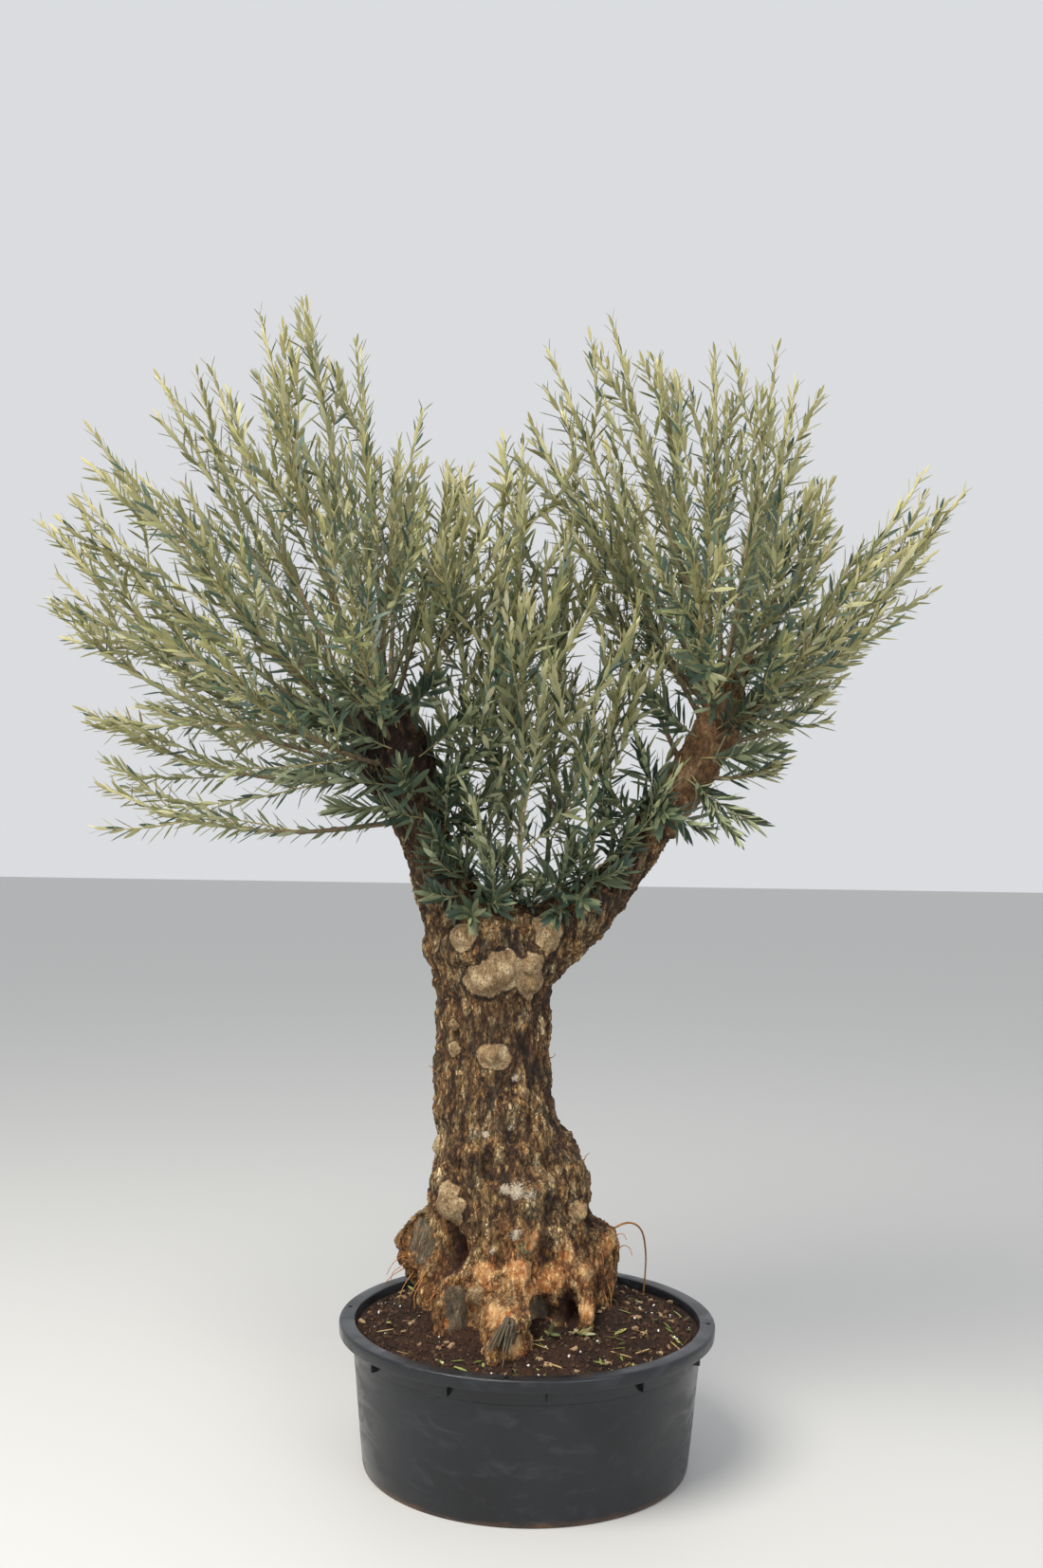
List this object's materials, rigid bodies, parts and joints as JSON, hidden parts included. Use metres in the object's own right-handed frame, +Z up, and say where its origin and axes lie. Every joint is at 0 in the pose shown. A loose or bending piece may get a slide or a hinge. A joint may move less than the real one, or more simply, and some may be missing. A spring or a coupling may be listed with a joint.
{
  "type": "potted olive bonsai",
  "caption": "Old olive tree grown as a large bonsai: knobbly forked trunk with two pollarded heads of leafy boughs, rooted in a round nursery tub of soil.",
  "frame": {"origin": "middle of the tub's flat underside, on the ground", "axes": "+Z up, -Y towards the front of the tree, +X to its right"},
  "size_m": [2.2642, 1.2315, 2.7478],
  "materials": {
    "tub_plastic": "satin",
    "potting_soil": "matte",
    "bark": "matte",
    "root_wood": "matte",
    "leaf": "satin"
  },
  "bodies": {
    "root": {"pot": "tub_plastic", "soil": "potting_soil", "trunk": "bark", "curly_root": "root_wood", "bough_fork_01": "leaf", "bough_fork_02": "leaf", "bough_fork_03": "leaf", "bough_fork_04": "leaf", "bough_fork_05": "leaf", "bough_fork_06": "leaf", "bough_left_01": "leaf", "bough_left_02": "leaf", "bough_left_03": "leaf", "bough_left_04": "leaf", "bough_left_05": "leaf", "bough_left_06": "leaf", "bough_left_07": "leaf", "bough_left_08": "leaf", "bough_left_09": "leaf", "bough_left_10": "leaf", "bough_left_11": "leaf", "bough_left_12": "leaf", "bough_left_13": "leaf", "bough_left_14": "leaf", "bough_left_15": "leaf", "bough_left_16": "leaf", "bough_left_17": "leaf", "bough_left_18": "leaf", "bough_left_19": "leaf", "bough_left_20": "leaf", "bough_left_21": "leaf", "bough_left_22": "leaf", "bough_left_23": "leaf", "bough_left_24": "leaf", "bough_left_25": "leaf", "bough_right_01": "leaf", "bough_right_02": "leaf", "bough_right_03": "leaf", "bough_right_04": "leaf", "bough_right_05": "leaf", "bough_right_06": "leaf", "bough_right_07": "leaf", "bough_right_08": "leaf", "bough_right_09": "leaf", "bough_right_10": "leaf", "bough_right_11": "leaf", "bough_right_12": "leaf", "bough_right_13": "leaf", "bough_right_14": "leaf", "bough_right_15": "leaf", "bough_right_16": "leaf", "bough_right_17": "leaf", "bough_right_18": "leaf", "bough_right_19": "leaf", "bough_right_20": "leaf", "bough_right_21": "leaf", "bough_right_22": "leaf", "bough_right_23": "leaf"}
  },
  "joints": []
}
